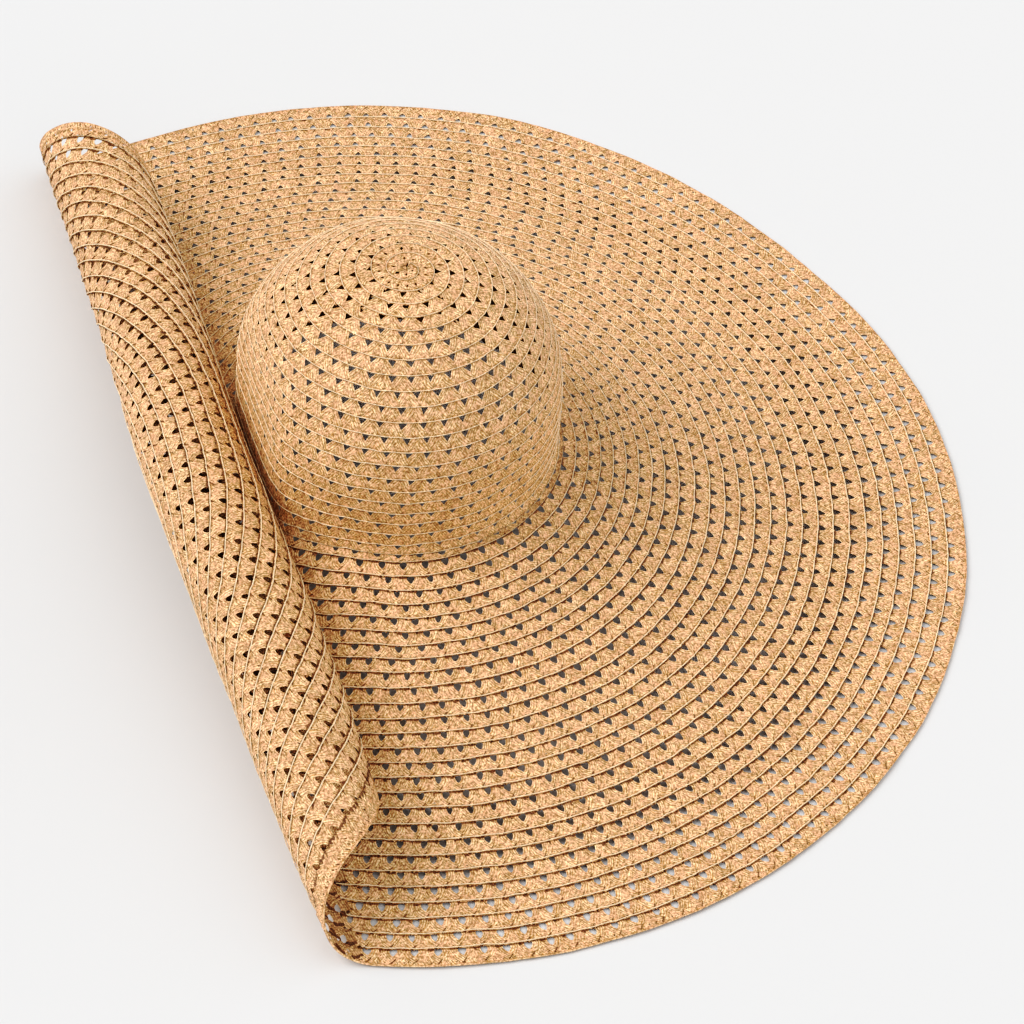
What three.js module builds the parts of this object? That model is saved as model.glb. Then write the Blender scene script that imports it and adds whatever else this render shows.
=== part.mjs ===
// A wide-brimmed straw sun hat that lies with its crown up. One side of the brim is rolled up beside the crown.
// The crown's axis is the Z axis while the pieces are shaped, and the floor is at height 0.
import * as THREE from "three";

// Driving sizes, in millimetres and degrees. Radii and heights are measured to the middle of the straw.
const wall = 2; // thickness of the sewn braid
const seam = 0.3; // clearance between neighbouring pieces
const footLean = 0.2; // share of the wall by which the sloping brim's lower edge leans in to the crown
const crownRadius = 93.5; // widest level of the crown
const crownWall = 38.5; // upright part of the crown, from its foot to the dome
const domeHeight = 87.5; // dome above the upright part
const domeFullness = 0.84; // under 1 makes the dome's shoulders fuller than an ellipse
const footHeight = 46; // crown's foot above the floor
const tipRadius = 15; // closed coil that starts the spiral
const brimRadius = 340; // outer edge of the brim
const levelRing = 12; // part of the brim inside its edge that lies level
const rimWidth = 6; // finished edge braid
const rimThickness = 3; // the edge braid is doubled
const rollRadius = 31.4; // outside turn of the rolled side
const rollSetback = 10; // from the crown's foot to the line where the roll begins
const rollAzimuth = 203.7; // direction from the crown's axis to the roll, from +X
const rollRoom = 1.4; // room between two turns of the roll
const rollClearance = 1; // between the roll and the crown's wall
const rollTaper = 7.5; // the roll's loss of radius at its front end
const taperStart = 0.3; // where the roll begins to narrow, as a share of the brim's radius along the roll
const taperEnd = 0.95; // where it is narrowest
const rollHeart = 1 / 3; // the innermost turn is never tighter than this share of the roll's radius
const rollMargin = 6; // angle past the roll's ends in which the brim keeps its closer steps
const rollSag = 0.4; // share of the brim's height that the roll presses down
const sagReach = 60; // how far from the roll the brim sags with it
const pressSoftness = 3; // rounding of the flat that the roll presses into the crown
const pressedDome = 0.9; // how far up the dome the flat fades out, as an angle in radians

// Where the edge is wider or narrower than a circle, as shares of the brim's radius: azimuth and spread in degrees.
const edgeWaves = [
  { azimuth: 85, reach: 0.016, spread: 18 },
  { azimuth: 45, reach: -0.009, spread: 14 },
  { azimuth: 126, reach: -0.013, spread: 12 },
  { azimuth: 150, reach: 0.018, spread: 14 },
  { azimuth: -116, reach: -0.026, spread: 14 },
];

// Steps of the faceted surfaces.
const crownSteps = { around: 48, dome: 9, upright: 3 };
const brimSteps = { across: 17, rolled: 70, open: 40 };

const radians = THREE.MathUtils.degToRad;
const clamp01 = (x) => THREE.MathUtils.clamp(x, 0, 1);

// Sizes that follow from the driving ones.
const brimInner = crownRadius + wall / 2 + seam + footLean * wall;
const levelRadius = brimRadius - levelRing;
const rollLine = brimInner + rollSetback;
const rollPitch = (rimThickness + rollRoom) / (2 * Math.PI);
const domeFoot = footHeight + crownWall;
const away = new THREE.Vector2(Math.cos(radians(rollAzimuth)), Math.sin(radians(rollAzimuth)));
const along = new THREE.Vector2(-away.y, away.x);
const slopeStep = 0.5; // distance over which the slope at the roll's line is measured

// Edge of the brim at an azimuth in radians.
function edgeRadius(azimuth) {
  let share = 1;
  for (const wave of edgeWaves) {
    const turn = THREE.MathUtils.euclideanModulo((azimuth * 180) / Math.PI - wave.azimuth + 180, 360) - 180;
    share += wave.reach * Math.exp(-((turn / wave.spread) ** 2));
  }
  return brimRadius * share;
}

// Height of the open brim: it leaves the crown's foot in a slope that flattens out to the level ring.
function flareHeight(radius) {
  return footHeight * clamp01((levelRadius - radius) / (levelRadius - brimInner)) ** 2;
}

// The same with the sag beside the roll. side is the distance past the roll's line, run the place along it.
function openHeight(side, run) {
  const free = flareHeight(Math.hypot(rollLine + side, run));
  const atLine = flareHeight(Math.hypot(rollLine, run));
  const near = THREE.MathUtils.smoothstep(side, -sagReach, 0);
  return free - rollSag * near * Math.min(free, atLine);
}

// Where the roll begins at a place along its line: the height and slope that the brim arrives with, and the radius.
function rollStart(run) {
  const height = openHeight(0, run);
  const slope = Math.atan((openHeight(-slopeStep, run) - height) / slopeStep);
  const frontShare = (-run * Math.sign(along.y)) / brimRadius;
  const front = clamp01((frontShare - taperStart) / (taperEnd - taperStart));
  return { height, slope, radius: rollRadius - rollTaper * front ** 2 };
}

// Furthest that the crown's wall may reach towards the roll.
const middle = rollStart(0);
const pressLimit = rollLine + middle.radius * (Math.sin(middle.slope) - 1) - wall - rollClearance;

// How far the roll pushes the crown's wall back at an azimuth.
function pressed(azimuth) {
  const free = crownRadius * Math.cos(azimuth - radians(rollAzimuth));
  return free - pressLimit + pressSoftness * Math.log(1 + Math.exp((pressLimit - free) / pressSoftness));
}

// Middle of the brim's straw at a radius and azimuth of the brim as it would lie unrolled.
function brimPoint(radius, azimuth) {
  const flat = new THREE.Vector2(radius * Math.cos(azimuth), radius * Math.sin(azimuth));
  const side = flat.dot(away) - rollLine;
  const run = flat.dot(along);
  let reach = side;
  let height = openHeight(side, run);
  if (side > 0) {
    const start = rollStart(run);
    const inner = Math.max(start.radius ** 2 - 2 * rollPitch * side, (start.radius * rollHeart) ** 2);
    const turned = (start.radius - Math.sqrt(inner)) / rollPitch;
    const angle = turned - start.slope;
    const spiral = start.radius - rollPitch * turned;
    reach = start.radius * Math.sin(start.slope) + spiral * Math.sin(angle);
    height = start.height + start.radius * Math.cos(start.slope) - spiral * Math.cos(angle);
  } else {
    reach -= pressed(azimuth) * clamp01(-side / rollSetback) ** 2 * clamp01(2 - radius / brimInner);
  }
  const place = away.clone().multiplyScalar(rollLine + reach).addScaledVector(along, run);
  return new THREE.Vector3(place.x, place.y, height + rimThickness / 2);
}

// Middle of the crown's straw. A level up to 0 is an angle up the dome with its sign changed, and one from 0 to 1
// is the share of the way down the upright part, which ends where the brim begins.
function crownPoint(level, azimuth) {
  const up = Math.max(-level, 0);
  const down = Math.max(level, 0);
  const radius = crownRadius * Math.cos(up) ** domeFullness;
  const flat = new THREE.Vector2(radius * Math.cos(azimuth), radius * Math.sin(azimuth));
  const foot = new THREE.Vector2(brimInner * Math.cos(azimuth), brimInner * Math.sin(azimuth));
  const footLevel = openHeight(foot.dot(away) - rollLine, foot.dot(along));
  const height = domeFoot + domeHeight * Math.sin(up) - (domeFoot - footLevel) * down;
  flat.addScaledVector(away, -pressed(azimuth) * (1 - THREE.MathUtils.smoothstep(up, 0, pressedDome)));
  return new THREE.Vector3(flat.x, flat.y, height + rimThickness / 2);
}

// A closed wall of even thickness about a surface. across runs from the inside out and around is a closed loop.
// With a pole the first step of across is one point.
function wallMesh(name, surface, across, around, thickness, colour, pole = false) {
  const positions = [];
  const faces = [];
  const nudge = 1e-3;
  const rows = across.length;
  const count = around.length;
  const ring = [];
  for (const side of [1, -1]) {
    ring.push(
      Array.from({ length: rows }, (_, i) =>
        around.map((azimuth, j) => {
          if (pole && i === 0 && j > 0) return null;
          const u = across[i](azimuth);
          const point = surface(u, azimuth);
          const normal = new THREE.Vector3(0, 0, 1);
          if (!pole || i > 0) {
            const step = nudge * Math.max(Math.abs(u), 1);
            const outward = surface(u + step, azimuth).sub(surface(u - step, azimuth));
            const turning = surface(u, azimuth + nudge).sub(surface(u, azimuth - nudge));
            normal.crossVectors(outward, turning).normalize();
          }
          point.addScaledVector(normal, (side * thickness) / 2);
          positions.push(point.x, point.y, point.z);
          return positions.length / 3 - 1;
        }),
      ),
    );
  }
  const at = (side, i, j) => ring[side][i][pole && i === 0 ? 0 : j % count];
  const quad = (a, b, c, d) => {
    if (a !== b) faces.push(a, c, b);
    if (c !== d && a !== d) faces.push(a, d, c);
  };
  for (let j = 0; j < count; j++) {
    for (let i = 0; i + 1 < rows; i++) {
      quad(at(0, i, j), at(0, i, j + 1), at(0, i + 1, j + 1), at(0, i + 1, j));
      quad(at(1, i, j), at(1, i + 1, j), at(1, i + 1, j + 1), at(1, i, j + 1));
    }
    const last = rows - 1;
    quad(at(0, last, j), at(0, last, j + 1), at(1, last, j + 1), at(1, last, j));
    if (!pole) quad(at(0, 0, j), at(1, 0, j), at(1, 0, j + 1), at(0, 0, j + 1));
  }
  const geometry = new THREE.BufferGeometry();
  geometry.setAttribute("position", new THREE.Float32BufferAttribute(positions, 3));
  geometry.setIndex(faces);
  geometry.computeVertexNormals();
  const material = new THREE.MeshStandardMaterial({ color: colour, roughness: 0.8, metalness: 0 });
  const mesh = new THREE.Mesh(geometry, material);
  mesh.name = name;
  return mesh;
}

// Angles around the crown, evenly spaced.
const crownAngles = Array.from({ length: crownSteps.around }, (_, j) => (j * 2 * Math.PI) / crownSteps.around);

// Angles around the brim, closer together in the rolled part.
const half = Math.acos(rollLine / brimRadius) + radians(rollMargin);
const brimAngles = [];
for (let j = 0; j < brimSteps.rolled; j++) {
  brimAngles.push(radians(rollAzimuth) - half + (2 * half * j) / brimSteps.rolled);
}
for (let j = 0; j < brimSteps.open; j++) {
  brimAngles.push(radians(rollAzimuth) + half + ((2 * Math.PI - 2 * half) * j) / brimSteps.open);
}

// Level up the dome at which the crown has a radius.
const levelAt = (radius) => -Math.acos((radius / crownRadius) ** (1 / domeFullness));

function crownTip() {
  const steps = [0, 1 / 2, 1].map((share) => () => levelAt((tipRadius - seam / 2) * share));
  return wallMesh("crown_tip", crownPoint, steps, crownAngles, wall, 0xd9ac78, true);
}

function crown() {
  const top = levelAt(tipRadius + seam / 2);
  const steps = [];
  for (let i = 0; i <= crownSteps.dome; i++) {
    steps.push(() => top * (1 - i / crownSteps.dome));
  }
  for (let i = 1; i <= crownSteps.upright; i++) {
    steps.push(() => (i / crownSteps.upright) * (1 - seam / crownWall));
  }
  return wallMesh("crown", crownPoint, steps, crownAngles, wall, 0xd2a06b);
}

function brim() {
  const steps = [];
  for (let i = 0; i <= brimSteps.across; i++) {
    const outer = (a) => edgeRadius(a) - rimWidth - seam;
    steps.push((a) => brimInner + ((outer(a) - brimInner) * i) / brimSteps.across);
  }
  return wallMesh("brim", brimPoint, steps, brimAngles, wall, 0xd0a06e);
}

function rimBraid() {
  const steps = [(a) => edgeRadius(a) - rimWidth, (a) => edgeRadius(a)];
  return wallMesh("rim_braid", brimPoint, steps, brimAngles, rimThickness, 0xcf9c68);
}

// The origin is under the middle of the hat's outline, on the floor.
const hat = new THREE.Group();
hat.add(crownTip(), crown(), brim(), rimBraid());
const bounds = new THREE.Box3().setFromObject(hat);
const centre = bounds.getCenter(new THREE.Vector3());
hat.children.forEach((piece) => piece.position.set(-centre.x, -centre.y, -bounds.min.z));

export default hat;
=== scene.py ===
"""Dresses the straw hat in openwork paper-straw braid, sewn in a spiral from the tip to the brim's edge.

The braid is woven flat, as a strip, by Geometry Nodes. The strip is then laid along a spiral on the hat's
surface, which has the sizes of the CAD part. Lengths are in millimetres until a mesh is finished.
"""

import math

import bpy
import numpy as np
from mathutils import Matrix, Vector


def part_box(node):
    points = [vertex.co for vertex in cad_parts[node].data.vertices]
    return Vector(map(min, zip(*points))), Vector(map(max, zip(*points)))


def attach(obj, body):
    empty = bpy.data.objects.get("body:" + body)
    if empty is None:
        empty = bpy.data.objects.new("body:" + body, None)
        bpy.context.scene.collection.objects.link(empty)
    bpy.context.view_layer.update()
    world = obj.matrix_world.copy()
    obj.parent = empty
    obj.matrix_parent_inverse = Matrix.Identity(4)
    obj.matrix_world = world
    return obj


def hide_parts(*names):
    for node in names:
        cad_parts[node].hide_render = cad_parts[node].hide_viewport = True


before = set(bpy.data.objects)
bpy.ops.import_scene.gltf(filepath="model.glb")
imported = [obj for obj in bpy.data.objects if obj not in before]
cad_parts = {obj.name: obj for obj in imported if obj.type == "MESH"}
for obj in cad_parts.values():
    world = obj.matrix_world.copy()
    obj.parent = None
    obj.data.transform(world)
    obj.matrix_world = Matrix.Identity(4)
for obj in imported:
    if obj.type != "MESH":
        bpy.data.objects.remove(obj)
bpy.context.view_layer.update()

MM = 0.001

# Sizes of the hat, as in the CAD part, in millimetres and degrees.
CROWN_RADIUS = 93.5
CROWN_WALL = 38.5
DOME_HEIGHT = 87.5
DOME_FULLNESS = 0.84
FOOT_HEIGHT = 46.0
TIP_RADIUS = 15.0
BRIM_RADIUS = 340.0
BRIM_INNER = 95.2
LEVEL_RING = 12.0
RIM_WIDTH = 6.0
RIM_THICKNESS = 3.0
WALL = 2.0
ROLL_RADIUS = 31.4
ROLL_SETBACK = 10.0
ROLL_AZIMUTH = math.radians(203.7)
ROLL_ROOM = 1.4
ROLL_CLEARANCE = 1.0
ROLL_TAPER = 7.5
TAPER_START = 0.3
TAPER_END = 0.95
ROLL_HEART = 1 / 3
ROLL_SAG = 0.4
SAG_REACH = 60.0
PRESS_SOFTNESS = 3.0
PRESSED_DOME = 0.9
POLE_GAP = 1e-4
OUTLINE_STEPS = 3000

# Where the edge is wider or narrower than a circle: azimuth, share of the radius and spread, in degrees.
EDGE_WAVES = (
    (85, 0.016, 18),
    (45, -0.009, 14),
    (126, -0.013, 12),
    (150, 0.018, 14),
    (-116, -0.026, 14),
)

# The sewn spiral: rows of braid and their widths, and where it starts.
CROWN_ROWS = 20
INNER_BRIM_ROWS = 9
INNER_ROW_WIDTH = 7.75
OUTER_BRIM_ROWS = 17
EDGE_ROW_WIDTH = 5.0
EDGE_TUCK = 2.0
EDGE_MARGIN = 0.5
FOOT_TURN = 8.0
FOOT_FLARE = 2.0
COIL_START = -1.75
CLOSED_TURNS = 1.0
TIP_GAP = 0.3
SHIFT_START = 0.6
SEWN_START = math.radians(131.7)
CROWN_AZIMUTH = math.radians(23.7)
STEPS_PER_TURN = 60

# How the sewing strays from an even spiral: reach, length of a wave, and seed.
ROW_STRAY = ((0.45, 26, 3), (0.2, 9, 4))
LIFT_STRAY = (0.4, 34, 5)
NOISE_TABLE = 4096
HASH_PRIMES = (73856093, 19349663)

# The braid, flat.
CROWN_CELL = 11.4
BRIM_CELL = 12.0
COIL_CELL = 5.0
EDGE_CELL = 3.4
ROW_WIDTH = 9.0
STRAW_WIDTH = 4.5
COIL_STRAW = 3.4
EDGE_STRAW = 2.2
STRAW_THICKNESS = 0.5
CORD_WIDTH = 0.6
WAVER = 0.6
COIL_WAVER = 0.3
EDGE_WAVER = 0.12
CROWN_TILT = 0.3
BRIM_TILT = 0.6
EDGE_TILT = 0.4
FLATNESS = 1.7
OTHER_SIDE_FROM = 5.0

# Sides of an arm's section, and how far a cell's arms and the whole strip stray.
ARM_SIDES = 6
ARM_SHIFT = (1.0, 0.35, 0.0)
ARM_LEAN = (0.0, 0.0, 0.09)
SWAY_SCALE = 0.17
SWAY = (4.0, 2.4, 1.0)

# Marks that tell the material what it is on. Arms have marks under 1.
STRAW_MARK = 2.0
CORD_MARK = 3.0

ROLL_LINE = BRIM_INNER + ROLL_SETBACK
LAST_ROW = BRIM_RADIUS - RIM_WIDTH - EDGE_ROW_WIDTH
LEVEL_RADIUS = BRIM_RADIUS - LEVEL_RING
ROLL_PITCH = (RIM_THICKNESS + ROLL_ROOM) / (2 * math.pi)
DOME_FOOT = FOOT_HEIGHT + CROWN_WALL
AWAY = np.array([math.cos(ROLL_AZIMUTH), math.sin(ROLL_AZIMUTH)])
ALONG = np.array([-AWAY[1], AWAY[0]])

# Steps over which a surface's slope and direction are measured.
SLOPE_STEP = 0.5
NORMAL_STEP = 0.4
NORMAL_TURN = 0.002
SHORTEST = 1e-9

tip_low, tip_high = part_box("crown_tip")
CROWN_AXIS = np.array([(tip_low.x + tip_high.x) / 2, (tip_low.y + tip_high.y) / 2, 0.0])


def smoothstep(value, low, high):
    share = np.clip((value - low) / (high - low), 0, 1)
    return share * share * (3 - 2 * share)


# The hat's surfaces


def edge_share(azimuth):
    """Radius of the brim's edge at an azimuth, as a share of a round brim's."""
    share = np.ones_like(azimuth)
    for place, reach, spread in EDGE_WAVES:
        turn = np.mod(np.degrees(azimuth) - place + 180, 360) - 180
        share += reach * np.exp(-((turn / spread) ** 2))
    return share


def flare_height(radius):
    return FOOT_HEIGHT * np.clip((LEVEL_RADIUS - radius) / (LEVEL_RADIUS - BRIM_INNER), 0, 1) ** 2


def open_height(side, run):
    """Height of the open brim at a distance past the roll's line and a place along it."""
    free = flare_height(np.hypot(ROLL_LINE + side, run))
    at_line = flare_height(np.hypot(ROLL_LINE, run))
    return free - ROLL_SAG * smoothstep(side, -SAG_REACH, 0) * np.minimum(free, at_line)


def roll_start(run):
    height = open_height(np.zeros_like(run), run)
    slope = np.arctan((open_height(np.full_like(run, -SLOPE_STEP), run) - height) / SLOPE_STEP)
    front_share = -run * np.sign(ALONG[1]) / BRIM_RADIUS
    front = np.clip((front_share - TAPER_START) / (TAPER_END - TAPER_START), 0, 1)
    return height, slope, ROLL_RADIUS - ROLL_TAPER * front**2


def press_limit():
    _, slope, radius = roll_start(np.zeros(1))
    return ROLL_LINE + radius[0] * (math.sin(slope[0]) - 1) - WALL - ROLL_CLEARANCE


PRESS_LIMIT = press_limit()


def pressed(azimuth):
    """How far the roll pushes the crown's wall back at an azimuth."""
    free = CROWN_RADIUS * np.cos(azimuth - ROLL_AZIMUTH)
    return free - PRESS_LIMIT + PRESS_SOFTNESS * np.logaddexp(0, (PRESS_LIMIT - free) / PRESS_SOFTNESS)


def brim_surface(radius, azimuth):
    """Middle of the brim's straw at a radius and azimuth of the brim as it would lie unrolled."""
    flat = np.stack([radius * np.cos(azimuth), radius * np.sin(azimuth)], -1)
    side = flat @ AWAY - ROLL_LINE
    run = flat @ ALONG
    start_height, slope, start_radius = roll_start(run)
    inner = np.maximum(start_radius**2 - 2 * ROLL_PITCH * side, (start_radius * ROLL_HEART) ** 2)
    turned = (start_radius - np.sqrt(inner)) / ROLL_PITCH
    angle = turned - slope
    spiral = start_radius - ROLL_PITCH * turned
    rolled = side > 0
    near_crown = np.clip(-side / ROLL_SETBACK, 0, 1) ** 2 * np.clip(2 - radius / BRIM_INNER, 0, 1)
    push = pressed(azimuth) * near_crown
    reach = np.where(rolled, start_radius * np.sin(slope) + spiral * np.sin(angle), side - push)
    height = np.where(
        rolled,
        start_height + start_radius * np.cos(slope) - spiral * np.cos(angle),
        open_height(side, run),
    )
    place = AWAY * (ROLL_LINE + reach)[:, None] + ALONG * run[:, None]
    return np.column_stack([place, height + RIM_THICKNESS / 2])


def profile_table():
    """Radius and angle up from the dome's foot against the distance down the outline from the tip."""
    up = np.linspace(math.pi / 2 - POLE_GAP, 0, OUTLINE_STEPS)
    radius = CROWN_RADIUS * np.cos(up) ** DOME_FULLNESS
    height = DOME_HEIGHT * np.sin(up)
    walked = np.concatenate([[0], np.cumsum(np.hypot(np.diff(radius), np.diff(height)))])
    return walked, radius, up


WALKED, WALKED_RADIUS, WALKED_UP = profile_table()
DOME_ARC = WALKED[-1]
CROWN_ARC = DOME_ARC + CROWN_WALL


def crown_radius(down):
    return np.interp(down, WALKED, WALKED_RADIUS)


def crown_surface(down, azimuth):
    """Middle of the crown's straw at a distance down its outline from the tip."""
    up = np.interp(down, WALKED, WALKED_UP)
    below = np.clip((down - DOME_ARC) / CROWN_WALL, 0, 1)
    turn = np.clip((down - CROWN_ARC + FOOT_TURN) / FOOT_TURN, 0, 1)
    radius = crown_radius(down) + FOOT_FLARE * turn**2
    foot = np.stack([BRIM_INNER * np.cos(azimuth), BRIM_INNER * np.sin(azimuth)], -1)
    foot_level = open_height(foot @ AWAY - ROLL_LINE, foot @ ALONG)
    height = DOME_FOOT + DOME_HEIGHT * np.sin(up) - (DOME_FOOT - foot_level) * below
    push = pressed(azimuth) * (1 - smoothstep(up, 0, PRESSED_DOME))
    flat = np.stack([radius * np.cos(azimuth), radius * np.sin(azimuth)], -1) - AWAY * push[:, None]
    return np.column_stack([flat, height + RIM_THICKNESS / 2])


def drift(points, scale, seed):
    """Smooth noise from -1 to 1 that changes over about the given length."""
    table = np.random.default_rng(seed).uniform(-1, 1, NOISE_TABLE)
    cell = np.floor(points / scale).astype(np.int64)
    part = points / scale - cell
    part = part * part * (3 - 2 * part)
    total = np.zeros(len(points))
    for corner in ((0, 0), (1, 0), (0, 1), (1, 1)):
        weight = np.ones(len(points))
        key = np.zeros(len(points), np.int64)
        for axis, far in enumerate(corner):
            weight *= part[:, axis] if far else 1 - part[:, axis]
            key ^= (cell[:, axis] + far) * HASH_PRIMES[axis]
        total += weight * table[key % NOISE_TABLE]
    return total


class Spiral:
    """The line that the braid is sewn along.

    line gives a row's outer edge at a turn, as a place on the outline, and girth the radius at a place.
    """

    def __init__(self, surface, line, girth, first_turn, last_turn, azimuth):
        self.surface = surface
        self.line = line
        self.azimuth = azimuth
        steps = round((last_turn - first_turn) * STEPS_PER_TURN)
        self.turns = np.linspace(first_turn, last_turn, steps + 1)
        middle = girth(line(self.turns - 0.5))
        lengths = np.diff(self.turns) * math.pi * (middle[1:] + middle[:-1])
        self.sewn = np.concatenate([[0], np.cumsum(lengths)])
        self.length = self.sewn[-1]

    def spot(self, along, across):
        """Place on the outline and azimuth of a point of the flat strip. across is counted in rows."""
        turn = np.interp(along, self.sewn, self.turns)
        outer = self.line(turn)
        return outer + across * (outer - self.line(turn - 1)), self.azimuth - 2 * math.pi * turn

    def point(self, along, across, lift):
        """Point on the hat of a point of the flat strip."""
        place, azimuth = self.spot(along, across)
        flat = np.column_stack([place * np.cos(azimuth), place * np.sin(azimuth)])
        for reach, wave, seed in ROW_STRAY:
            place = place + reach * drift(flat, wave, seed)
        reach, wave, seed = LIFT_STRAY
        lift = lift + reach * drift(flat, wave, seed)
        return offset_point(self.surface, place, azimuth, lift)


class Ring(Spiral):
    """A single row that closes on itself."""

    def __init__(self, surface, inner, outer, azimuth):
        self.surface = surface
        self.inner = inner
        self.outer = outer
        self.azimuth = azimuth
        self.length = math.pi * (inner + outer)

    def spot(self, along, across):
        azimuth = self.azimuth - 2 * math.pi * along / self.length
        return self.outer + across * (self.outer - self.inner), azimuth


def offset_point(surface, place, azimuth, lift):
    """A point above a surface, along its normal."""
    outward = surface(place + NORMAL_STEP, azimuth) - surface(place - NORMAL_STEP, azimuth)
    forward = surface(place, azimuth - NORMAL_TURN) - surface(place, azimuth + NORMAL_TURN)
    normal = np.cross(forward, outward)
    normal /= np.maximum(np.linalg.norm(normal, axis=1, keepdims=True), SHORTEST)
    return surface(place, azimuth) + normal * lift[:, None]


# Geometry Nodes


class Tree:
    """A Geometry Nodes tree under construction."""

    def __init__(self, name, inputs):
        self.tree = bpy.data.node_groups.new(name, "GeometryNodeTree")
        self.tree.is_modifier = True
        self.sockets = {}
        for label, kind, value in inputs:
            socket = self.tree.interface.new_socket(label, in_out="INPUT", socket_type=kind)
            if value is not None:
                socket.default_value = value
            self.sockets[label] = socket.identifier
        self.tree.interface.new_socket("Geometry", in_out="OUTPUT", socket_type="NodeSocketGeometry")
        self.given = self.tree.nodes.new("NodeGroupInput")

    def input(self, label):
        return self.given.outputs[label]

    def node(self, kind, inputs=(), **settings):
        """Adds a node. inputs maps a socket's name or number to a value or to another node's output."""
        made = self.tree.nodes.new(kind)
        for name, value in settings.items():
            setattr(made, name, value)
        for name, value in dict(inputs).items():
            target = made.inputs[name]
            if isinstance(value, bpy.types.NodeSocket):
                self.tree.links.new(value, target)
            else:
                target.default_value = value
        return made

    def math(self, operation, first, second):
        return self.node("ShaderNodeMath", {0: first, 1: second}, operation=operation).outputs[0]

    def vector(self, operation, first, second):
        made = self.node("ShaderNodeVectorMath", {0: first, 1: second}, operation=operation)
        return made.outputs[0]

    def scaled(self, vector, factor):
        made = self.node("ShaderNodeVectorMath", {0: vector, "Scale": factor}, operation="SCALE")
        return made.outputs[0]

    def combine(self, x, y, z):
        return self.node("ShaderNodeCombineXYZ", {"X": x, "Y": y, "Z": z}).outputs[0]

    def join(self, parts):
        made = self.tree.nodes.new("GeometryNodeJoinGeometry")
        for part in parts:
            self.tree.links.new(part, made.inputs[0])
        return made.outputs[0]

    def store(self, geometry, name, value, domain="POINT"):
        made = self.node(
            "GeometryNodeStoreNamedAttribute",
            {"Geometry": geometry, "Name": name, "Value": value},
            data_type="FLOAT",
            domain=domain,
        )
        return made.outputs[0]

    def finish(self, geometry):
        out = self.tree.nodes.new("NodeGroupOutput")
        self.tree.links.new(geometry, out.inputs[0])


def straw(tree, start, middle, end, steps, width, thickness, sides, mark, flatness, smooth):
    """A straw bent from start by middle to end, which carries its own coordinates for the material."""
    line = tree.node(
        "GeometryNodeCurveQuadraticBezier",
        {"Resolution": steps, "Start": start, "Middle": middle, "End": end},
    ).outputs[0]
    reach = tree.node("GeometryNodeSplineParameter").outputs
    line = tree.store(line, "along", reach["Length"])
    line = tree.store(line, "mark", mark)
    line = tree.store(line, "share", reach["Factor"])
    section = tree.node("GeometryNodeCurvePrimitiveCircle", {"Resolution": sides, "Radius": 0.5}).outputs[0]
    corner = tree.node(
        "ShaderNodeSeparateXYZ",
        {0: tree.node("GeometryNodeInputPosition").outputs[0]},
    ).outputs
    squared = tree.node(
        "ShaderNodeClamp",
        {"Value": tree.math("MULTIPLY", corner["X"], flatness), "Min": -0.5, "Max": 0.5},
    ).outputs[0]
    across = tree.math("MULTIPLY", squared, width)
    place = tree.combine(across, tree.math("MULTIPLY", corner["Y"], thickness), 0.0)
    section = tree.store(section, "across", across)
    section = tree.store(section, "height", corner["Y"])
    section = tree.node("GeometryNodeSetPosition", {"Geometry": section, "Position": place}).outputs[0]
    swept = tree.node(
        "GeometryNodeCurveToMesh",
        {"Curve": line, "Profile Curve": section, "Fill Caps": True},
    ).outputs[0]
    return tree.node("GeometryNodeSetShadeSmooth", {"Geometry": swept, "Shade Smooth": smooth}).outputs[0]


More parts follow.
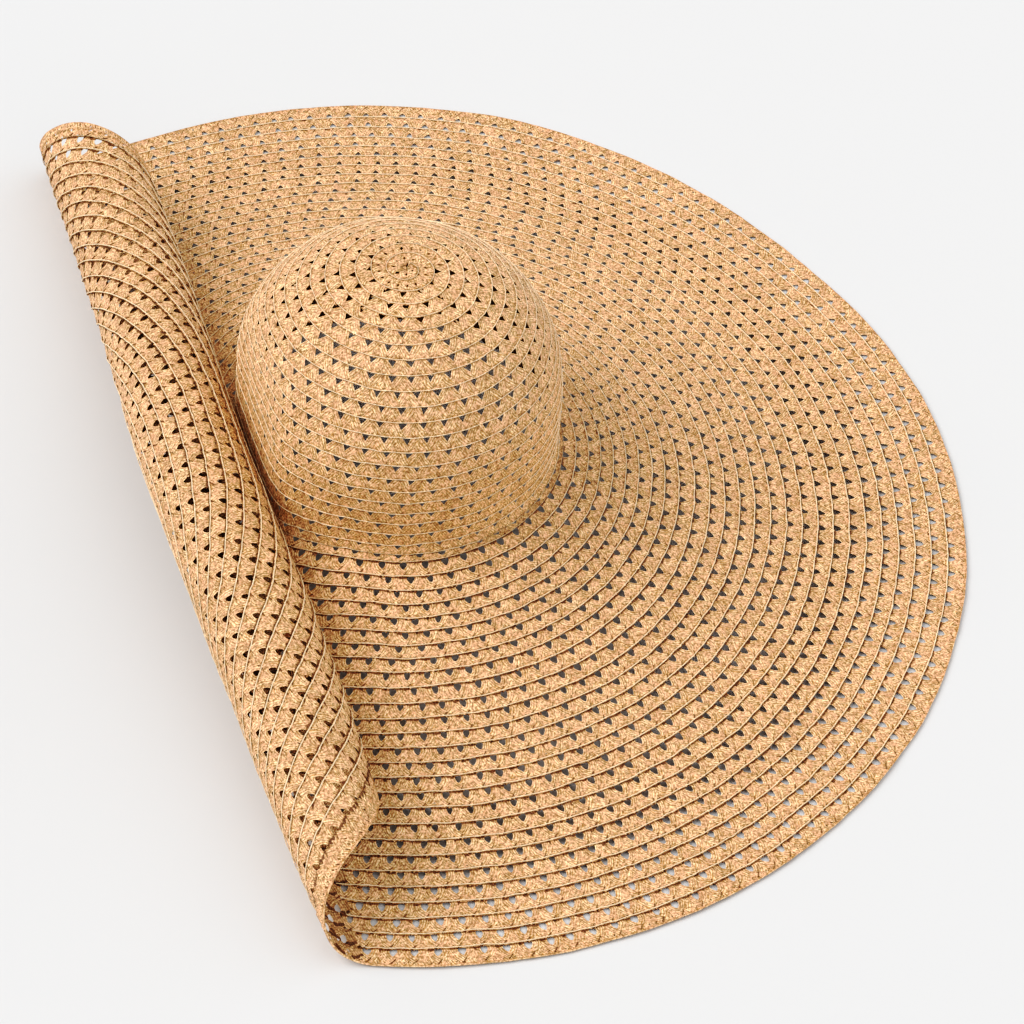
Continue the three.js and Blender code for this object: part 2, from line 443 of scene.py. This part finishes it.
def braid_tree(name, arms, bands):
    """A flat strip of braid: crossing arms repeated in cells, and bands that run along it.

    An arm's row holds its two ends as shares of the cell's length, the row's width and the straw's
    thickness, then how far its middle is bent along the row and its steps. A band's row holds its place
    across and its height in the same shares, its width and thickness in straw widths and thicknesses, its
    sides, its steps for each cell, how square its section is, whether it is smooth, and its mark.
    """
    tree = Tree(
        name,
        (
            ("Cells", "NodeSocketInt", 10),
            ("Cell Length", "NodeSocketFloat", BRIM_CELL),
            ("Row Width", "NodeSocketFloat", ROW_WIDTH),
            ("Straw Width", "NodeSocketFloat", STRAW_WIDTH),
            ("Straw Thickness", "NodeSocketFloat", STRAW_THICKNESS),
            ("Waver", "NodeSocketFloat", WAVER),
            ("Seed", "NodeSocketInt", 1),
            ("Finish", "NodeSocketMaterial", None),
        ),
    )
    length, width = tree.input("Cell Length"), tree.input("Straw Width")
    thickness = tree.input("Straw Thickness")
    cells, seed = tree.input("Cells"), tree.input("Seed")
    cell_size = tree.combine(length, tree.input("Row Width"), thickness)
    parts = []
    if arms:
        made = []
        for count, (start, end, bend, steps) in enumerate(arms):
            middle = ((start[0] + end[0]) / 2 + bend, (start[1] + end[1]) / 2, (start[2] + end[2]) / 2)
            made.append(
                straw(
                    tree,
                    tree.vector("MULTIPLY", start, cell_size),
                    tree.vector("MULTIPLY", middle, cell_size),
                    tree.vector("MULTIPLY", end, cell_size),
                    steps,
                    width,
                    thickness,
                    ARM_SIDES,
                    count / len(arms),
                    FLATNESS,
                    False,
                )
            )
        places = tree.node(
            "GeometryNodeMeshLine",
            {
                "Count": cells,
                "Start Location": tree.scaled(tree.combine(length, 0.0, 0.0), 0.5),
                "Offset": tree.combine(length, 0.0, 0.0),
            },
            mode="OFFSET",
        ).outputs[0]
        shift = tree.node(
            "FunctionNodeRandomValue",
            {0: [-shift for shift in ARM_SHIFT], 1: ARM_SHIFT, "Seed": seed},
            data_type="FLOAT_VECTOR",
        ).outputs[0]
        places = tree.node(
            "GeometryNodeSetPosition",
            {"Geometry": places, "Offset": tree.scaled(shift, tree.input("Waver"))},
        ).outputs[0]
        lean = tree.node(
            "FunctionNodeRandomValue",
            {0: [-lean for lean in ARM_LEAN], 1: ARM_LEAN, "Seed": tree.math("ADD", seed, 3.0)},
            data_type="FLOAT_VECTOR",
        ).outputs[0]
        copies = tree.node(
            "GeometryNodeInstanceOnPoints",
            {"Points": places, "Instance": tree.join(made), "Rotation": lean},
        ).outputs[0]
        tone = tree.node(
            "FunctionNodeRandomValue",
            {2: 0.0, 3: 1.0, "Seed": tree.math("ADD", seed, 7.0)},
            data_type="FLOAT",
        ).outputs[1]
        copies = tree.store(copies, "tone", tone, "INSTANCE")
        number = tree.node("GeometryNodeInputIndex").outputs[0]
        centre = tree.math("MULTIPLY", tree.math("ADD", number, 0.5), length)
        copies = tree.store(copies, "centre", centre, "INSTANCE")
        parts.append(tree.node("GeometryNodeRealizeInstances", {"Geometry": copies}).outputs[0])
    for across, lift, band_width, band_thickness, sides, steps, flatness, smooth, mark in bands:
        start = tree.vector("MULTIPLY", (0.0, across, lift), cell_size)
        run = tree.combine(tree.math("MULTIPLY", cells, length), 0.0, 0.0)
        band = straw(
            tree,
            start,
            tree.vector("ADD", start, tree.scaled(run, 0.5)),
            tree.vector("ADD", start, run),
            tree.math("MULTIPLY", cells, float(steps)),
            tree.math("MULTIPLY", width, band_width),
            tree.math("MULTIPLY", thickness, band_thickness),
            sides,
            mark,
            flatness,
            smooth,
        )
        spot = tree.node("GeometryNodeInputPosition").outputs[0]
        centre = tree.node("ShaderNodeSeparateXYZ", {0: spot}).outputs["X"]
        parts.append(tree.store(band, "centre", centre))
    strip = tree.join(parts)
    noise = tree.node(
        "ShaderNodeTexNoise",
        {"Vector": tree.node("GeometryNodeInputPosition").outputs[0], "Scale": SWAY_SCALE, "Detail": 1.0},
    ).outputs["Color"]
    sway = tree.vector("MULTIPLY", tree.vector("SUBTRACT", noise, (0.5, 0.5, 0.5)), SWAY)
    strip = tree.node(
        "GeometryNodeSetPosition",
        {"Geometry": strip, "Offset": tree.scaled(sway, tree.input("Waver"))},
    ).outputs[0]
    strip = tree.node("GeometryNodeRealizeInstances", {"Geometry": strip}).outputs[0]
    strip = tree.node(
        "GeometryNodeSetMaterial",
        {"Geometry": strip, "Material": tree.input("Finish")},
    ).outputs[0]
    tree.finish(strip)
    return tree


def woven(name, tree, material, **values):
    """Runs a braid tree and keeps the strip as a plain mesh object."""
    holder = bpy.data.objects.new(name, bpy.data.meshes.new(name))
    bpy.context.scene.collection.objects.link(holder)
    weave = holder.modifiers.new("weave", "NODES")
    weave.node_group = tree.tree
    weave[tree.sockets["Finish"]] = material
    for label, value in values.items():
        weave[tree.sockets[label.replace("_", " ").title()]] = value
    graph = bpy.context.evaluated_depsgraph_get()
    shaped = holder.evaluated_get(graph)
    mesh = bpy.data.meshes.new_from_object(shaped, preserve_all_data_layers=True, depsgraph=graph)
    holder.modifiers.remove(weave)
    bare = holder.data
    holder.data = mesh
    bpy.data.meshes.remove(bare)
    mesh.name = name
    return holder


def lay(piece, place):
    """Moves the strip's points to their places on the hat, in metres in the part's frame."""
    count = len(piece.data.vertices)
    flat = np.empty(count * 3, np.float32)
    piece.data.vertices.foreach_get("co", flat)
    centre = np.empty(count, np.float32)
    piece.data.attributes["centre"].data.foreach_get("value", centre)
    piece.data.attributes.remove(piece.data.attributes["centre"])
    along, across, lift = flat.reshape(-1, 3).astype(float).T
    points = place(along, across, lift, centre.astype(float)) * MM + CROWN_AXIS
    piece.data.vertices.foreach_set("co", points.astype(np.float32).ravel())
    piece.data.update()
    return piece


# Materials

PALE = (1.0, 0.675, 0.35, 1)
DEEP = (0.54, 0.245, 0.07, 1)
ROSY = (0.92, 0.485, 0.26, 1)
CORD_TONE = (1.0, 0.77, 0.48, 1)
FLOOR_DARK = (0.715, 0.715, 0.715, 1)
FLOOR_LIGHT = (0.725, 0.725, 0.725, 1)

# The straw's pattern. Fibres and ridges are counted for each millimetre along and across a straw.
FIBRES_ALONG = 0.4
FIBRES_ACROSS = 0.85
RIDGES = 4.6
RIDGE_WANDER = 9.0
RIDGE_SHARE = 0.45
STREAK_RANGE = (0.3, 0.68)
PATCH_SCALE = 260.0
PATCH_RANGE = (0.42, 0.62)
PATCH_SHARE = 0.6
RELIEF = 0.6

# Shade: each straw's own, the grain's and the cord's least, where along a straw the painted shade at its
# seams lies, where the rows overlap and shade each other, and where across a straw its back, painted in
# shade, begins.
TONE_SPREAD = 53.0
OWN_SHADE = (0.88, 1.1)
GRAIN_SCALE = 760.0
GRAIN_RANGE = (0.36, 0.64)
GRAIN_SHADE = (0.55, 1.35)
GRAIN_RELIEF = 0.6
CORD_SHADE = 0.95
INNER_SEAM_SHADE = (0.16, 0.22)
OUTER_SEAM_SHADE = (0.93, 0.97)
BACK_HEIGHT = (0.1, 0.4)
GREEN_DEPTH = 1.25
BLUE_DEPTH = 1.5


class Finish:
    """A material under construction."""

    def __init__(self, name, roughness):
        self.material = bpy.data.materials.new(name)
        self.material.use_nodes = True
        self.tree = self.material.node_tree
        self.shader = self.tree.nodes["Principled BSDF"]
        self.shader.inputs["Roughness"].default_value = roughness

    def node(self, kind, inputs=(), **settings):
        made = self.tree.nodes.new(kind)
        for name, value in settings.items():
            setattr(made, name, value)
        for name, value in dict(inputs).items():
            if isinstance(value, bpy.types.NodeSocket):
                self.tree.links.new(value, made.inputs[name])
            else:
                made.inputs[name].default_value = value
        return made

    def attribute(self, name):
        made = self.node("ShaderNodeAttribute", attribute_name=name, attribute_type="GEOMETRY")
        return made.outputs["Fac"]

    def math(self, operation, first, second):
        return self.node("ShaderNodeMath", {0: first, 1: second}, operation=operation).outputs[0]

    def mix(self, share, first, second, blend="MIX"):
        made = self.node("ShaderNodeMix", data_type="RGBA", blend_type=blend)
        for index, value in ((0, share), (6, first), (7, second)):
            if isinstance(value, bpy.types.NodeSocket):
                self.tree.links.new(value, made.inputs[index])
            else:
                made.inputs[index].default_value = value
        return made.outputs[2]

    def noise(self, place, scale, detail):
        made = self.node("ShaderNodeTexNoise", {"Vector": place, "Scale": scale, "Detail": detail})
        return made.outputs["Fac"]

    def spread(self, value, low, high, to_low=0.0, to_high=1.0):
        made = self.node(
            "ShaderNodeMapRange",
            {"Value": value, "From Min": low, "From Max": high, "To Min": to_low, "To Max": to_high},
        )
        return made.outputs[0]


def straw_finish(name, roughness, painted_light_scale, seam_shade, painted_back_shade):
    """Paper straw: ridges and fibres along each straw, with a tone of its own for every straw.

    The last three arguments paint light and shade: how much lighter or darker the straw is for the light its
    part gets, the painted shade on a straw's ends, where the rows are sewn together and shade each other,
    and the painted shade on its back, which stands for the shade inside the crown and inside the roll.
    """
    made = Finish(name, roughness)
    along, across = made.attribute("along"), made.attribute("across")
    tone, mark = made.attribute("tone"), made.attribute("mark")
    offset = made.math("MULTIPLY", made.math("ADD", tone, mark), TONE_SPREAD)
    fibre_place = made.node(
        "ShaderNodeCombineXYZ",
        {
            "X": made.math("MULTIPLY", along, FIBRES_ALONG),
            "Y": made.math("MULTIPLY", across, FIBRES_ACROSS),
            "Z": offset,
        },
    ).outputs[0]
    fibres = made.noise(fibre_place, 1.0, 3.0)
    spot = made.node("ShaderNodeTexCoord").outputs["Object"]
    grain = made.noise(spot, GRAIN_SCALE, 2.0)
    patch = made.noise(spot, PATCH_SCALE, 2.0)
    own = made.node("ShaderNodeTexWhiteNoise", {"W": offset}, noise_dimensions="1D").outputs["Value"]
    turned = made.math(
        "ADD",
        made.math("MULTIPLY", across, RIDGES),
        made.math("MULTIPLY", fibres, RIDGE_WANDER),
    )
    ridges = made.spread(made.math("SINE", turned, 0.0), -1.0, 1.0)
    streaks = made.math(
        "ADD",
        made.math("MULTIPLY", ridges, RIDGE_SHARE),
        made.math("MULTIPLY", fibres, 1 - RIDGE_SHARE),
    )
    colour = made.mix(made.spread(streaks, *STREAK_RANGE), DEEP, PALE)
    colour = made.mix(made.spread(patch, *PATCH_RANGE, 0.0, PATCH_SHARE), colour, ROSY)
    on_cord = made.spread(mark, CORD_MARK - 0.5, CORD_MARK - 0.4)
    colour = made.mix(on_cord, colour, CORD_TONE)
    least, most = OWN_SHADE
    # Painted light: the straw's tone is made lighter or darker for how much light its part of the hat gets.
    own = made.spread(own, 0.0, 1.0, least * painted_light_scale, most * painted_light_scale)
    shade = made.math("MULTIPLY", own, made.spread(grain, *GRAIN_RANGE, *GRAIN_SHADE))
    share = made.attribute("share")
    # Painted shade at both ends of each straw, where the rows overlap and lie in each other's shadow. Bands
    # get none.
    inner_end = made.spread(share, *INNER_SEAM_SHADE, seam_shade, 1.0)
    outer_end = made.spread(share, *OUTER_SEAM_SHADE, 1.0, seam_shade)
    painted_seam_shade = made.math("MINIMUM", inner_end, outer_end)
    painted_seam_shade = made.math("MAXIMUM", painted_seam_shade, made.spread(mark, STRAW_MARK - 0.1, STRAW_MARK))
    # Painted shade on the straw's back, standing in for the shade inside the crown and inside the roll.
    inside = made.spread(made.attribute("height"), *BACK_HEIGHT, 1.0, painted_back_shade)
    shade = made.math("MULTIPLY", shade, made.math("MULTIPLY", painted_seam_shade, inside))
    shade = made.math("MAXIMUM", shade, made.math("MULTIPLY", on_cord, CORD_SHADE))
    tint = made.node(
        "ShaderNodeCombineColor",
        {
            "Red": shade,
            "Green": made.math("POWER", shade, GREEN_DEPTH),
            "Blue": made.math("POWER", shade, BLUE_DEPTH),
        },
    ).outputs[0]
    colour = made.mix(1.0, colour, tint, "MULTIPLY")
    made.tree.links.new(colour, made.shader.inputs["Base Color"])
    height = made.math("ADD", streaks, made.math("MULTIPLY", grain, GRAIN_RELIEF))
    bump = made.node("ShaderNodeBump", {"Height": height, "Strength": 1.0, "Distance": RELIEF * MM})
    made.tree.links.new(bump.outputs[0], made.shader.inputs["Normal"])
    return made.material


def floor_finish():
    made = Finish("pale_floor", 0.9)
    spot = made.node("ShaderNodeTexCoord").outputs["Object"]
    cloud = made.noise(spot, 2.0, 2.0)
    colour = made.mix(cloud, FLOOR_DARK, FLOOR_LIGHT)
    made.tree.links.new(colour, made.shader.inputs["Base Color"])
    made.shader.inputs["Specular IOR Level"].default_value = 0.0
    return made.material


# Pieces

# Arms of an openwork cell. Start and end: shares of cell length, row width and straw thickness.
CROWN_ARMS = (
    ((0.50, -1.10, -0.5), (0.0, -0.07, 0.5), 0.03, 2),
    ((-0.50, -1.10, 0.5), (0.0, -0.07, -0.5), -0.03, 2),
    ((0.66, -0.75, -0.9), (0.33, -0.08, -0.4), 0.0, 1),
    ((-0.66, -0.75, -0.2), (-0.33, -0.08, -0.9), 0.0, 1),
)
BRIM_ARMS = (
    ((0.31, -1.10, -0.5), (-0.06, -0.07, 0.5), 0.38, 3),
    ((-0.31, -1.10, 0.5), (0.06, -0.07, -0.5), -0.38, 3),
    ((0.62, -0.85, -0.9), (0.22, -0.08, -0.4), 0.0, 1),
    ((-0.62, -0.85, -0.2), (-0.22, -0.08, -0.9), 0.0, 1),
)
# Bands of an openwork row: the selvage straw and the raised cord along the outer edge.
CORD_WIDE = CORD_WIDTH / STRAW_WIDTH
CORD_HIGH = CORD_WIDTH / STRAW_THICKNESS
SELVAGE = (-0.085, -0.6, 0.5, 1.0, 6, 2, FLATNESS, False, STRAW_MARK)
CORD = (0.0, 1.0, CORD_WIDE, CORD_HIGH, 5, 3, 1.0, True, CORD_MARK)
THIN_CORD = (-0.01, 0.9, 0.75 * CORD_WIDE, CORD_HIGH, 5, 3, 1.0, True, CORD_MARK)
# The tight braid of the edge and of the crown's tip, and the edge's thick band.
EDGE_ARMS = (
    ((0.55, -1.1, -0.4), (-0.35, -0.1, 0.4), 0.0, 2),
    ((-0.55, -1.1, 0.4), (0.35, -0.1, -0.4), 0.0, 2),
)
EDGE_BANDS = ((-0.08, 0.0, 0.6, 2.6, 6, 2, 1.0, True, STRAW_MARK),)


def rolled_over(spiral, along):
    """Whether a place along the strip lies in the roll, where the braid shows its other side."""
    radius, azimuth = spiral.spot(along, -0.5)
    flat = np.stack([radius * np.cos(azimuth), radius * np.sin(azimuth)], -1)
    return (flat @ AWAY > ROLL_LINE + OTHER_SIDE_FROM) & (radius > BRIM_INNER)


def sewn_pieces(spiral, tree, material, names, seed, cell_length, tilt, turns_over=False, **values):
    """Cuts the spiral into named pieces of equal numbers of cells.

    Each row lies over the next one: tilt is how much higher its outer edge is than its inner edge.
    """
    cells = int(spiral.length / cell_length)
    length = spiral.length / cells
    width = values.get("row_width", ROW_WIDTH)
    made = []
    for count, name in enumerate(names):
        first = cells * count // len(names)
        last = cells * (count + 1) // len(names)
        cut = dict(values, cells=last - first, cell_length=length, seed=seed + count)
        piece = woven(name, tree, material, **cut)

        def place(along, across, lift, centre, before=first * length):
            rows = across / width
            if turns_over:
                over = rolled_over(spiral, centre + before)
                rows = np.where(over, -1 - rows, rows)
                lift = np.where(over, -lift, lift)
            return spiral.point(along + before, rows, lift + tilt * (rows + 0.5))

        made.append(lay(piece, place))
    return made


def crown_line(turn):
    """Outer edge of a row of the crown, as a distance down its outline."""
    start = np.interp(TIP_RADIUS, WALKED_RADIUS, WALKED)
    return np.clip(start + (CROWN_ARC - start) * turn / CROWN_ROWS, TIP_GAP, CROWN_ARC)


def brim_line(turn):
    """Outer edge of a row of the brim, as a radius. The outer rows step outward only inside the roll."""
    whole = np.floor(turn)
    part = turn - whole
    stepped = smoothstep(part, SHIFT_START, 1.0)
    turn = turn + (stepped - part) * smoothstep(turn, INNER_BRIM_ROWS, INNER_BRIM_ROWS + OUTER_BRIM_ROWS / 2)
    inner_end = BRIM_INNER + INNER_BRIM_ROWS * INNER_ROW_WIDTH
    return np.interp(
        turn,
        [0, INNER_BRIM_ROWS, INNER_BRIM_ROWS + OUTER_BRIM_ROWS],
        [BRIM_INNER, inner_end, LAST_ROW],
    )


def waved_brim(radius, azimuth):
    """The brim's surface with the rows following the edge's waves more and more towards the edge."""
    share = 1 + (edge_share(azimuth) - 1) * smoothstep(radius, BRIM_RADIUS / 2, BRIM_RADIUS)
    return brim_surface(radius * share, azimuth)


def make_crown(tree, material):
    spiral = Spiral(crown_surface, crown_line, crown_radius, CLOSED_TURNS, CROWN_ROWS + 1, CROWN_AZIMUTH)
    names = ["crown_braid"]
    return sewn_pieces(spiral, tree, material, names, seed=11, cell_length=CROWN_CELL, tilt=CROWN_TILT)


def make_brim(tree, material):
    rows = INNER_BRIM_ROWS + OUTER_BRIM_ROWS + 1
    spiral = Spiral(waved_brim, brim_line, lambda radius: radius, 0, rows, SEWN_START)
    names = ["brim_braid_inner", "brim_braid_middle", "brim_braid_outer", "brim_braid_last"]
    return sewn_pieces(
        spiral,
        tree,
        material,
        names,
        seed=23,
        cell_length=BRIM_CELL,
        tilt=BRIM_TILT,
        turns_over=True,
    )


def make_edge_row(tree, material):
    """The last open row, which closes on itself and ends under the edge braid."""
    ring = Ring(waved_brim, LAST_ROW, BRIM_RADIUS - EDGE_TUCK, ROLL_AZIMUTH)
    return sewn_pieces(
        ring,
        tree,
        material,
        ["brim_braid_edge"],
        seed=41,
        cell_length=BRIM_CELL,
        tilt=BRIM_TILT,
        turns_over=True,
    )


def make_edge(tree, material):
    """The tight braid around the brim's edge."""
    width = RIM_WIDTH - EDGE_MARGIN
    ring = Ring(waved_brim, BRIM_RADIUS - width, BRIM_RADIUS, ROLL_AZIMUTH)
    return sewn_pieces(
        ring,
        tree,
        material,
        ["edge_braid"],
        seed=51,
        cell_length=EDGE_CELL,
        tilt=EDGE_TILT,
        row_width=width,
        straw_width=EDGE_STRAW,
        waver=EDGE_WAVER,
    )


def make_coil(tree, material):
    """The closed start of the spiral on top of the crown."""
    spiral = Spiral(crown_surface, crown_line, crown_radius, COIL_START, CLOSED_TURNS, CROWN_AZIMUTH)
    return sewn_pieces(
        spiral,
        tree,
        material,
        ["crown_coil"],
        seed=31,
        cell_length=COIL_CELL,
        tilt=CROWN_TILT,
        straw_width=COIL_STRAW,
        waver=COIL_WAVER,
    )


# Camera, light and floor

LENS = 116.1
SENSOR = 36.0
CAMERA_TILT = math.radians(90 - 46.44)
CAMERA_ROLL = math.radians(7.31)
CAMERA_PLACE = (0.02857, -1.33386, 1.39323)
SKY = 0.45
FLOOR_REACH = 12.0

# The photo's contrast: a tone, and how bright it is shown. The last curve holds all the channels.
DEEPENED = ((0.05, 0.02), (0.12, 0.085), (0.22, 0.215), (0.5, 0.5))


def make_camera():
    data = bpy.data.cameras.new("camera")
    data.lens = LENS
    data.sensor_width = SENSOR
    data.clip_start = 0.05
    data.clip_end = 50.0
    camera = bpy.data.objects.new("camera", data)
    turn = Matrix.Rotation(CAMERA_TILT, 4, "X") @ Matrix.Rotation(CAMERA_ROLL, 4, "Z")
    camera.matrix_world = Matrix.Translation(CAMERA_PLACE) @ turn
    bpy.context.scene.collection.objects.link(camera)
    bpy.context.scene.camera = camera


def make_sun(name, toward, strength, angle):
    """A wide, soft sun, which lights the whole floor evenly."""
    data = bpy.data.lights.new(name, "SUN")
    data.energy = strength
    data.angle = math.radians(angle)
    light = bpy.data.objects.new(name, data)
    aim = Vector(toward) * -1
    light.matrix_world = aim.to_track_quat("-Z", "Y").to_matrix().to_4x4()
    bpy.context.scene.collection.objects.link(light)


def make_studio():
    scene = bpy.context.scene
    view = scene.view_settings
    view.view_transform = "Standard"
    view.use_curve_mapping = True
    for light, shown in DEEPENED:
        view.curve_mapping.curves[-1].points.new(light, shown)
    view.curve_mapping.update()
    world = bpy.data.worlds.new("studio")
    world.use_nodes = True
    world.node_tree.nodes["Background"].inputs["Color"].default_value = (1.0, 1.0, 1.0, 1)
    world.node_tree.nodes["Background"].inputs["Strength"].default_value = SKY
    scene.world = world
    make_sun("key", toward=(-0.8, -0.1, 0.85), strength=2.35, angle=45.0)
    make_sun("fill", toward=(0.95, -0.15, 0.75), strength=1.27, angle=120.0)
    reach = FLOOR_REACH
    mesh = bpy.data.meshes.new("floor")
    corners = [(-reach, -reach, 0), (reach, -reach, 0), (reach, reach, 0), (-reach, reach, 0)]
    mesh.from_pydata(corners, [], [(0, 1, 2, 3)])
    floor = bpy.data.objects.new("floor", mesh)
    mesh.materials.append(floor_finish())
    scene.collection.objects.link(floor)


def main():
    make_camera()
    make_studio()
    # The crown's straw is painted a little lighter and the brim's a little darker for the light each part
    # gets. The seam and back values are painted shade.
    crown_straw = straw_finish("crown_straw", roughness=0.6, painted_light_scale=1.03, seam_shade=0.7, painted_back_shade=0.25)
    brim_straw = straw_finish("brim_straw", roughness=0.6, painted_light_scale=0.98, seam_shade=0.25, painted_back_shade=0.7)
    edge_straw = straw_finish("edge_straw", roughness=0.65, painted_light_scale=1.0, seam_shade=0.8, painted_back_shade=1.0)
    crown_open = braid_tree("crown braid", CROWN_ARMS, (SELVAGE, THIN_CORD))
    brim_open = braid_tree("brim braid", BRIM_ARMS, (SELVAGE, CORD))
    edge_open = braid_tree("edge row", BRIM_ARMS, ())
    tight = braid_tree("tight braid", EDGE_ARMS, EDGE_BANDS)
    closed = braid_tree("closed braid", EDGE_ARMS, (SELVAGE, THIN_CORD))
    dressed = (
        (make_coil(closed, crown_straw), "crown_tip", "straw_crown"),
        (make_crown(crown_open, crown_straw), "crown", "straw_crown"),
        (make_brim(brim_open, brim_straw), "brim", "straw_brim"),
        (make_edge_row(edge_open, brim_straw), "brim", "straw_brim"),
        (make_edge(tight, edge_straw), "rim_braid", "straw_edge"),
    )
    for pieces, node, slot in dressed:
        for piece in pieces:
            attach(piece, "root")
            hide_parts(node)


main()
